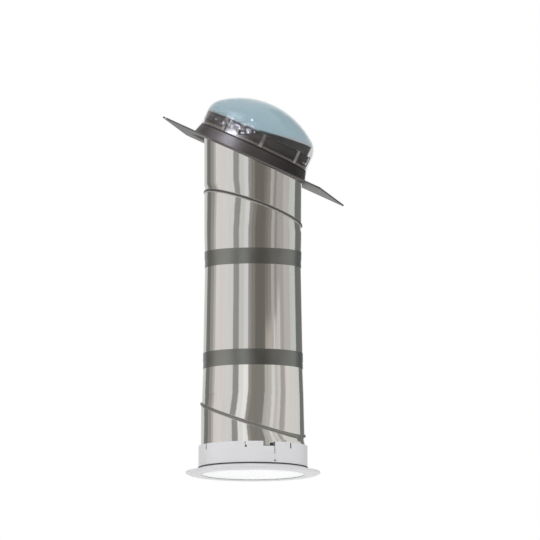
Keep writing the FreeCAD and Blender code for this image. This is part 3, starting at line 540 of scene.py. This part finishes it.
class SkylightSizes(bpy.types.PropertyGroup):
    """Sizes, shares and angles of the finishes, the small fittings and the stage."""

    skirt_top: FloatProperty(
        name="Skirt top", description="Where the dome's clear skirt ends, above the roof",
        default=0.070, unit="LENGTH",
    )
    tint_rise: FloatProperty(
        name="Tint rise", description="Height over which the crown's tint sets in",
        default=0.010, unit="LENGTH",
    )
    rim_top: FloatProperty(
        name="Rim top", description="Top of the dome's beaded rim, above the roof",
        default=0.042, unit="LENGTH",
    )
    ledge_height: FloatProperty(
        name="Ledge height", description="Edge of the turret's ledge, above the roof",
        default=0.0345, unit="LENGTH",
    )
    clear_rise: FloatProperty(
        name="Clear rise", description="How much higher the dome stays clear on its low side",
        default=0.024, unit="LENGTH",
    )
    skirt_alpha: FloatProperty(
        name="Skirt cover", description="How much of the view each face of the skirt covers",
        default=0.02, subtype="FACTOR",
    )
    band_alpha: FloatProperty(
        name="Band cover", description="How much more the crinkled top of the skirt covers",
        default=0.26, subtype="FACTOR",
    )
    rim_alpha: FloatProperty(
        name="Rim cover", description="How much more of the view each face of the rim covers",
        default=0.14, subtype="FACTOR",
    )
    edge_alpha: FloatProperty(
        name="Edge cover", description="How much more the skirt covers where it is seen edge on",
        default=0.16, subtype="FACTOR",
    )
    crown_alpha: FloatProperty(
        name="Crown cover", description="How much of the view each face of the crown covers",
        default=0.36, subtype="FACTOR",
    )
    prism_count: FloatProperty(
        name="Prism count", description="Prisms of the dome's crinkled band, along a metre",
        default=240.0,
    )
    prism_lean: FloatProperty(
        name="Prism lean", description="How far the prisms of that band lean",
        default=0.64, subtype="FACTOR",
    )
    # The seams' dark stripes are painted shade in their folds
    fold_halves: FloatVectorProperty(
        name="Fold halves", description="Half the dull stripe's width on each seam, upper first",
        default=(0.0022, 0.0032), size=2, unit="LENGTH",
    )
    fold_shades: FloatVectorProperty(
        name="Fold shades", description="Share of the sheet's brightness on each seam, upper first",
        default=(0.20, 0.36), size=2,
    )
    # Painted light: the diffuser's glow stands in for the daylight down the tube
    lens_glow: FloatProperty(
        name="Lens glow", description="Daylight that leaves the diffuser", default=0.34,
    )
    lens_grid: FloatProperty(
        name="Lens grid", description="Fineness of the diffuser's prismatic grid", default=26.0,
    )
    stud_radius: FloatProperty(
        name="Stud radius", description="Closure studs under the ceiling ring's split",
        default=0.0021, unit="LENGTH",
    )
    split_turn: FloatProperty(
        name="Split angle", description="Where the ceiling ring's split is",
        default=math.radians(301.7), subtype="ANGLE",
    )
    latch_turn: FloatProperty(
        name="Latch angle", description="Where the dark latch stands in the notch",
        default=math.radians(299.0), subtype="ANGLE",
    )
    notch_floor: FloatProperty(
        name="Notch floor", description="Floor of the ceiling ring's notch",
        default=0.054, unit="LENGTH",
    )
    # The strip is painted shadow: a dark piece in the gap at the collar's foot
    strip_height: FloatProperty(
        name="Strip height", description="Sealing strip above the ceiling ring's flange",
        default=0.010, unit="LENGTH",
    )
    strip_width: FloatProperty(
        name="Strip width", description="Width of the sealing strip, up the collar",
        default=0.0034, unit="LENGTH",
    )
    reflector_radius: FloatProperty(
        name="Reflector radius", description="Bent sheet on the low side of the dome",
        default=0.1343, unit="LENGTH",
    )
    reflector_foot: FloatProperty(
        name="Reflector foot", description="Foot of the bent sheet, above the roof",
        default=0.0727, unit="LENGTH",
    )
    reflector_top: FloatProperty(
        name="Reflector top", description="Bent sheet's upper edge over the turret's axis",
        default=0.0745, unit="LENGTH",
    )
    reflector_slope: FloatProperty(
        name="Reflector slope", description="How the bent sheet's edge rises towards the low side",
        default=math.radians(9), subtype="ANGLE",
    )
    camera_bearing: FloatProperty(
        name="Camera bearing", description="Where the camera stands round the object",
        default=math.radians(8), subtype="ANGLE",
    )
    camera_elevation: FloatProperty(
        name="Camera elevation", description="How far above the horizon the camera stands",
        default=math.radians(-6), subtype="ANGLE",
    )
    picture_width: FloatProperty(
        name="Picture width", description="Width of the picture at the object",
        default=1.386, unit="LENGTH",
    )
    floor_drop: FloatProperty(
        name="Floor drop", description="Floor below the ceiling ring",
        default=1.1, unit="LENGTH",
    )


class SkylightColours(bpy.types.PropertyGroup):
    """Colours of the finishes."""

    bright_sheet: FloatVectorProperty(
        name="Bright sheet", description="Reflective tube",
        default=(0.62, 0.605, 0.58), subtype="COLOR",
    )
    foil_tape: FloatVectorProperty(
        name="Foil tape", description="Tape round the slip joints",
        default=(0.225, 0.228, 0.215), subtype="COLOR",
    )
    acrylic: FloatVectorProperty(
        name="Acrylic", description="Crown of the roof dome",
        default=(0.262, 0.49, 0.585), subtype="COLOR",
    )
    clear_skirt: FloatVectorProperty(
        name="Clear skirt", description="What shows of the dome's skirt",
        default=(0.13, 0.12, 0.12), subtype="COLOR",
    )
    # Partly painted highlight: the thicker rim is real, and its pale light line is painted
    clear_rim: FloatVectorProperty(
        name="Clear rim", description="Beaded rim of the dome",
        default=(0.44, 0.40, 0.38), subtype="COLOR",
    )
    dark_sheet: FloatVectorProperty(
        name="Dark sheet", description="Flashing",
        default=(0.11, 0.0995, 0.0965), subtype="COLOR",
    )
    # Partly painted shade: the bent sheet is a real part, and its near-black back stands for the
    # shade in the dome's low side
    dark_back: FloatVectorProperty(
        name="Dark back", description="Back of the bent sheet in the dome",
        default=(0.022, 0.025, 0.023), subtype="COLOR",
    )
    galvanised: FloatVectorProperty(
        name="Galvanised sheet", description="Hanger ring",
        default=(0.16, 0.16, 0.16), subtype="COLOR",
    )
    steel: FloatVectorProperty(
        name="Steel", description="Screws and retaining wire",
        default=(0.6, 0.6, 0.6), subtype="COLOR",
    )
    nylon: FloatVectorProperty(
        name="Nylon", description="Spacers under the dome's skirt",
        default=(0.38, 0.345, 0.325), subtype="COLOR",
    )
    rubber: FloatVectorProperty(
        name="Rubber", description="Washers and gaskets",
        default=(0.03, 0.03, 0.03), subtype="COLOR",
    )
    foam: FloatVectorProperty(
        name="Foam", description="Seal between the tube and the ceiling ring",
        default=(0.10, 0.10, 0.10), subtype="COLOR",
    )
    white_plastic: FloatVectorProperty(
        name="White plastic", description="Ceiling ring and trim",
        default=(0.83, 0.83, 0.845), subtype="COLOR",
    )
    # Dark rubber gives the lower dark stud, the latch, and the strip of painted shadow at the
    # collar's foot
    dark_rubber: FloatVectorProperty(
        name="Dark rubber", description="Plug, latch and sealing strip on the ceiling ring",
        default=(0.035, 0.035, 0.037), subtype="COLOR",
    )
    lens: FloatVectorProperty(
        name="Lens", description="Diffuser",
        default=(0.93, 0.94, 0.94), subtype="COLOR",
    )


class SKYLIGHT_OT_tube(bpy.types.Operator):
    """Gives the bends and the extension tube their bright sheet"""

    bl_idname = "skylight.tube"
    bl_label = "Reflective Tube"

    def execute(self, context):
        dress(TUBE, bright_sheet())
        return {"FINISHED"}


class SKYLIGHT_OT_tapes(bpy.types.Operator):
    """Gives the tapes round the slip joints their foil"""

    bl_idname = "skylight.tapes"
    bl_label = "Foil Tapes"

    def execute(self, context):
        dress(TAPES, foil_tape())
        return {"FINISHED"}


class SKYLIGHT_OT_dome(bpy.types.Operator):
    """Gives the dome its acrylic, and adds the bent reflector sheet that stands in its low side"""

    bl_idname = "skylight.dome"
    bl_label = "Roof Dome"

    SHEET_SEGMENTS = 144
    SHEET_THICKNESS = 0.0004

    def execute(self, context):
        dress(["dome"], clear_acrylic())
        # The sheet's near-black back is partly painted shade in the dome's low side
        back = moulded(
            "dark_back", colours().dark_back, roughness=0.3, grain_size=0.002, relief=0.0001
        )
        new_piece("dome_reflector", self.bent_sheet, back, "roof_side")
        return {"FINISHED"}

    def bent_sheet(self, bm):
        """A sheet bent round the turret's axis, cut off along a slope and on its high side."""
        size = sizes()
        radius = size.reflector_radius
        height = radius / 2
        high_side = radius / 8
        middle = TURRET_FRAME @ Matrix.Translation((0, 0, size.reflector_foot + height / 2))
        bmesh.ops.create_cone(
            bm, cap_ends=False, segments=self.SHEET_SEGMENTS, radius1=radius, radius2=radius,
            depth=height, matrix=middle,
        )
        slope = size.reflector_slope
        turn = TURRET_FRAME.to_3x3()
        cuts = (
            (Vector((0, 0, size.reflector_top)), Vector((-math.sin(slope), 0, math.cos(slope)))),
            (Vector((high_side, 0, 0)), Vector((-1, 0, 0))),
        )
        for point, direction in cuts:
            bmesh.ops.bisect_plane(
                bm, geom=[*bm.verts, *bm.edges, *bm.faces], plane_co=TURRET_FRAME @ point,
                plane_no=turn @ direction, clear_outer=True,
            )
        bmesh.ops.solidify(bm, geom=bm.faces[:], thickness=self.SHEET_THICKNESS)


class SKYLIGHT_OT_flashing(bpy.types.Operator):
    """Gives the flashing its dark satin coat"""

    bl_idname = "skylight.flashing"
    bl_label = "Flashing"

    def execute(self, context):
        dress(["flashing"], dark_sheet())
        return {"FINISHED"}


class SKYLIGHT_OT_fittings(bpy.types.Operator):
    """Finishes the spacers, screws, washers, gaskets, foam seal, hanger and retaining wire"""

    bl_idname = "skylight.fittings"
    bl_label = "Fittings"

    def execute(self, context):
        colour = colours()
        galvanised = plain_metal("galvanised_sheet", colour.galvanised, roughness=0.45)
        dress(["hanger_ring"], galvanised)
        steel = plain_metal("screw_steel", colour.steel, roughness=0.2)
        dress(STEEL_PARTS, steel)
        nylon = moulded("nylon", colour.nylon, roughness=0.4, grain_size=0.001, relief=0.0002)
        dress(["dome_spacers"], nylon)
        rubber = moulded("rubber", colour.rubber, roughness=0.6, grain_size=0.0008, relief=0.0003)
        dress(RUBBER_PARTS, rubber)
        foam = moulded("foam", colour.foam, roughness=0.8, grain_size=0.0015, relief=0.0008)
        dress(["ring_seal"], foam)
        return {"FINISHED"}


class SKYLIGHT_OT_ceiling_ring(bpy.types.Operator):
    """Finishes the ceiling ring and its trim, and adds its studs, latch and a dark strip of painted
    shadow at the collar's foot
    """

    bl_idname = "skylight.ceiling_ring"
    bl_label = "Ceiling Ring"

    STUD_HEIGHT = 0.029
    LOWER_STUD_HEIGHT = 0.017
    # A stud's depth, its smaller end and its rounding, against its radius
    STUD_DEPTH = 0.7
    STUD_TAPER = 0.8
    STUD_ROUNDING = 0.3
    STUD_SEGMENTS = 24
    LATCH_SIZE = (0.006, 0.0085, 0.0018)
    LATCH_SINK = 0.0012
    LATCH_ROUNDING = 0.0004
    STRIP_THICKNESS = 0.0008
    STRIP_SEGMENTS = 16
    STRIP_STEPS = 180

    def execute(self, context):
        plastic = moulded(
            "white_plastic", colours().white_plastic, roughness=0.34, grain_size=0.0009,
            relief=0.0002,
        )
        dress(WHITE_PARTS, plastic)
        rubber = moulded(
            "dark_rubber", colours().dark_rubber, roughness=0.5, grain_size=0.0008, relief=0.0002
        )
        new_piece("closure_stud", self.closure_stud, plastic, "ceiling_side")
        new_piece("lower_dark_stud", self.lower_dark_stud, rubber, "ceiling_side")
        new_piece("notch_latch", self.latch, rubber, "ceiling_side")
        new_piece("collar_shadow_strip", self.shadow_gap_strip, rubber, "ceiling_side")
        return {"FINISHED"}

    def closure_stud(self, bm):
        self.stud(bm, self.STUD_HEIGHT)

    # A dark round head lower on the collar, under the white stud
    def lower_dark_stud(self, bm):
        self.stud(bm, self.LOWER_STUD_HEIGHT)

    def stud(self, bm, height):
        """A round head on the collar, under the foot of the split."""
        radius = sizes().stud_radius
        depth = radius * self.STUD_DEPTH
        seat = on_collar(sizes().split_turn, height, depth / 2)
        bmesh.ops.create_cone(
            bm, cap_ends=True, segments=self.STUD_SEGMENTS, radius1=radius,
            radius2=radius * self.STUD_TAPER, depth=depth, matrix=seat,
        )
        outwards = seat.to_3x3().col[2]
        rim = [
            edge for edge in bm.edges
            if all((end.co - seat.translation).dot(outwards) > 0 for end in edge.verts)
        ]
        bmesh.ops.bevel(
            bm, geom=rim, offset=radius * self.STUD_ROUNDING, offset_type="OFFSET",
            affect="EDGES", segments=3, profile=0.5, material=-1,
        )

    def latch(self, bm):
        """A small dark latch that stands on the notch's floor, in the wall of the collar."""
        width, height, depth = self.LATCH_SIZE
        middle = sizes().notch_floor + height / 2
        seat = on_collar(sizes().latch_turn, middle, -self.LATCH_SINK)
        shape = Matrix.Diagonal((width, height, depth, 1))
        bmesh.ops.create_cube(bm, size=1.0, matrix=seat @ shape)
        bmesh.ops.bevel(
            bm, geom=bm.edges[:], offset=self.LATCH_ROUNDING, offset_type="OFFSET",
            affect="EDGES", segments=2, profile=0.5, material=-1,
        )

    def shadow_gap_strip(self, bm):
        """An oval strip of dark rubber round the collar, above the flange: painted shadow in the
        gap at the collar's foot.
        """
        half = sizes().strip_width / 2
        thickness = self.STRIP_THICKNESS
        middle = Matrix.Translation((COLLAR_RADIUS + thickness, 0, sizes().strip_height))
        seat = middle @ Matrix.Rotation(math.pi / 2, 4, "X")
        oval = Matrix.Diagonal((thickness, half, 1, 1))
        bmesh.ops.create_circle(
            bm, cap_ends=False, segments=self.STRIP_SEGMENTS, radius=1.0, matrix=seat @ oval
        )
        bmesh.ops.spin(
            bm, geom=[*bm.verts, *bm.edges], cent=(0, 0, 0), axis=(0, 0, 1), angle=math.tau,
            steps=self.STRIP_STEPS, use_merge=True,
        )


class SKYLIGHT_OT_diffuser(bpy.types.Operator):
    """Gives the diffuser lens its opal plastic"""

    bl_idname = "skylight.diffuser"
    bl_label = "Diffuser"

    def execute(self, context):
        dress(["diffuser_lens"], opal_lens())
        return {"FINISHED"}


def bearing(degrees):
    """The level direction at an angle from the camera's own bearing."""
    turn = sizes().camera_bearing + math.radians(degrees)
    return Vector((math.sin(turn), -math.cos(turn), 0))


def even_glow(name, brightness, tint, see_through):
    """The studio cards' light, which a see-through card adds to what lies behind it."""
    material = bpy.data.materials.new(name)
    material.use_nodes = True
    tree = material.node_tree
    tree.nodes.remove(tree.nodes["Principled BSDF"])
    nodes = Nodes(tree)
    surface = nodes.node("ShaderNodeEmission", None, {"Color": tint, "Strength": brightness})
    if see_through:
        clear = nodes.node("ShaderNodeBsdfTransparent")
        surface = nodes.node("ShaderNodeAddShader", None, {0: surface, 1: clear})
    nodes.feed(tree.nodes["Material Output"].inputs["Surface"], surface)
    return material


def limit_light(card, names, state="INCLUDE"):
    """Lets a card light some nodes only, or all but them."""
    receivers = bpy.data.collections.new(f"{card.name}_receivers")
    for name in names:
        receivers.objects.link(NODES[name])
    for receiver in receivers.collection_objects:
        receiver.light_linking.link_state = state
    card.light_linking.receiver_collection = receivers


class SKYLIGHT_OT_stage(bpy.types.Operator):
    """Sets up the floor, the studio's cards and lamps, the white surroundings and the camera"""

    bl_idname = "skylight.stage"
    bl_label = "Stage"

    FLOOR_RADIUS = 9.0
    FLOOR_SEGMENTS = 64
    FLOOR_COLOUR = (0.92, 0.92, 0.92)
    FLOOR_ROUGHNESS = 0.9
    FLOOR_GLOW = 0.42
    CARD_STEPS = 12
    HIGH_CARD_BEARING = -44
    HIGH_CARD_LIFT = math.radians(29)
    HIGH_CARD_TINT = (0.78, 0.83, 1.0)
    LAMP_DISTANCE = 2.4
    LAMP_SIDE = 1.6
    SURROUND_LIGHT = 0.55
    CAMERA_DISTANCE = 4.0

    def execute(self, context):
        self.add_floor()
        for number, (start, end, *light) in enumerate(REFLECTION_CARDS):
            card = self.add_card(f"card_{number}", start, end, *light, CARD_TOP, CARD_DISTANCE)
            if FLASHING_SHADE[0] <= start and end <= FLASHING_SHADE[1]:
                limit_light(card, ["flashing"], "EXCLUDE")
        for number, (*glow, pieces) in enumerate(GLOWS):
            limit_light(self.add_card(f"glow_{number}", *glow, see_through=True), pieces)
        for *high_card, node in HIGH_CARDS:
            limit_light(self.add_high_card(*high_card), [node])
        # The tube mirrors the studio, and not the roof plate over it
        NODES["flashing"].visible_glossy = False
        for lamp in LAMPS:
            self.add_lamp(*lamp)
        self.add_surroundings(context.scene)
        self.add_camera(context.scene)
        context.scene.view_settings.view_transform = "Standard"
        return {"FINISHED"}

    def add_object(self, name, bm, material):
        thing = add_mesh(name, bm, material)
        return thing

    def add_floor(self):
        bm = bmesh.new()
        level = Matrix.Translation((0, 0, -sizes().floor_drop))
        bmesh.ops.create_circle(
            bm, cap_ends=True, segments=self.FLOOR_SEGMENTS, radius=self.FLOOR_RADIUS, matrix=level
        )
        fixed = {
            "Base Color": self.FLOOR_COLOUR, "Roughness": self.FLOOR_ROUGHNESS,
            "Emission Color": WHITE,
        }
        finish = Finish("pale_floor", fixed)
        finish.set("Emission Strength", finish.backdrop_strength(shown=self.FLOOR_GLOW, lit=0.0))
        self.add_object("floor", bm, finish.material)

    def add_card(self, name, start, end, brightness, tint, top, distance, see_through=False):
        """A tall curved card that only reflections show."""
        bm = bmesh.new()
        foot = bearing(start) * distance
        low, high = (bm.verts.new(foot + Vector((0, 0, z))) for z in (-sizes().floor_drop, top))
        edge = bm.edges.new((low, high))
        bmesh.ops.spin(
            bm, geom=[low, high, edge], cent=(0, 0, 0), axis=(0, 0, 1),
            angle=math.radians(end - start), steps=self.CARD_STEPS,
        )
        card = self.add_object(name, bm, even_glow(name, brightness, tint, see_through))
        self.show_in_reflections(card)
        return card

    def add_high_card(self, name, half_side, brightness, distance):
        """A bright card, high on the left, that only reflections show."""
        target = TURRET_FRAME @ Vector((0, 0, sizes().skirt_top))
        lift = self.HIGH_CARD_LIFT
        level = bearing(self.HIGH_CARD_BEARING)
        towards = level * math.cos(lift) + Vector((0, 0, math.sin(lift)))
        facing = towards.to_track_quat("Z", "Y").to_matrix().to_4x4()
        bm = bmesh.new()
        bmesh.ops.create_grid(
            bm, x_segments=1, y_segments=1, size=half_side,
            matrix=Matrix.Translation(target + towards * distance) @ facing,
        )
        material = even_glow(name, brightness, self.HIGH_CARD_TINT, see_through=True)
        card = self.add_object(name, bm, material)
        self.show_in_reflections(card)
        return card

    @staticmethod
    def show_in_reflections(card):
        """Hides a card from all rays but reflected ones."""
        card.visible_camera = False
        card.visible_diffuse = False
        card.visible_transmission = False
        card.visible_shadow = False

    def add_lamp(self, name, angle, height, power):
        lamp = bpy.data.lights.new(name, "AREA")
        lamp.shape = "SQUARE"
        lamp.size = self.LAMP_SIDE
        lamp.energy = power
        holder = bpy.data.objects.new(name, lamp)
        holder.location = bearing(angle) * self.LAMP_DISTANCE + Vector((0, 0, height))
        target = Vector((0, 0, (CAD_BOX[0].z + CAD_BOX[1].z) / 2))
        holder.rotation_euler = (target - holder.location).to_track_quat("-Z", "Y").to_euler()
        holder.visible_glossy = False
        bpy.context.scene.collection.objects.link(holder)

    def add_surroundings(self, scene):
        world = bpy.data.worlds.new("white_surroundings")
        world.use_nodes = True
        nodes = Nodes(world.node_tree)
        sockets = world.node_tree.nodes["Background"].inputs
        nodes.feed(sockets["Color"], WHITE)
        strength = nodes.backdrop_strength(shown=1.0, lit=self.SURROUND_LIGHT)
        nodes.feed(sockets["Strength"], strength)
        scene.world = world

    def add_camera(self, scene):
        """A parallel view from slightly below, framed by the tube's axis and the ceiling flange."""
        size = sizes()
        metres_per_pixel = size.picture_width / PICTURE_SIDE
        shortening = math.cos(size.camera_elevation)
        backwards = bearing(0) * shortening + Vector((0, 0, math.sin(size.camera_elevation)))
        sideways = Vector((0, 0, 1)).cross(bearing(0))
        aim = sideways * (PICTURE_SIDE / 2 - TUBE_AXIS_PIXEL) * metres_per_pixel
        aim.z = (FLANGE_PIXEL - PICTURE_SIDE / 2) * metres_per_pixel / shortening
        camera = bpy.data.cameras.new("camera")
        camera.type = "ORTHO"
        camera.ortho_scale = size.picture_width
        holder = bpy.data.objects.new("camera", camera)
        holder.location = aim + backwards * self.CAMERA_DISTANCE
        holder.rotation_euler = (-backwards).to_track_quat("-Z", "Y").to_euler()
        scene.collection.objects.link(holder)
        scene.camera = holder


OPERATORS = (
    SKYLIGHT_OT_tube, SKYLIGHT_OT_tapes, SKYLIGHT_OT_dome, SKYLIGHT_OT_flashing,
    SKYLIGHT_OT_fittings, SKYLIGHT_OT_ceiling_ring, SKYLIGHT_OT_diffuser, SKYLIGHT_OT_stage,
)


class SKYLIGHT_PT_pieces(bpy.types.Panel):
    """Lists the skylight's pieces and their settings"""

    bl_label = "Tubular Skylight"
    bl_space_type = "VIEW_3D"
    bl_region_type = "UI"
    bl_category = "Skylight"

    def draw(self, context):
        for operator in OPERATORS:
            self.layout.operator(operator.bl_idname)
        for group in (context.scene.skylight_sizes, context.scene.skylight_colours):
            for name in group.bl_rna.properties.keys():
                if name not in ("rna_type", "name"):
                    self.layout.prop(group, name)


CLASSES = (SkylightSizes, SkylightColours, *OPERATORS, SKYLIGHT_PT_pieces)


def register():
    for item in CLASSES:
        bpy.utils.register_class(item)
    bpy.types.Scene.skylight_sizes = PointerProperty(type=SkylightSizes)
    bpy.types.Scene.skylight_colours = PointerProperty(type=SkylightColours)


def unregister():
    del bpy.types.Scene.skylight_colours
    del bpy.types.Scene.skylight_sizes
    for item in reversed(CLASSES):
        bpy.utils.unregister_class(item)


def main():
    register()
    for operator in OPERATORS:
        group, name = operator.bl_idname.split(".")
        getattr(getattr(bpy.ops, group), name)()


if __name__ == "__main__":
    main()
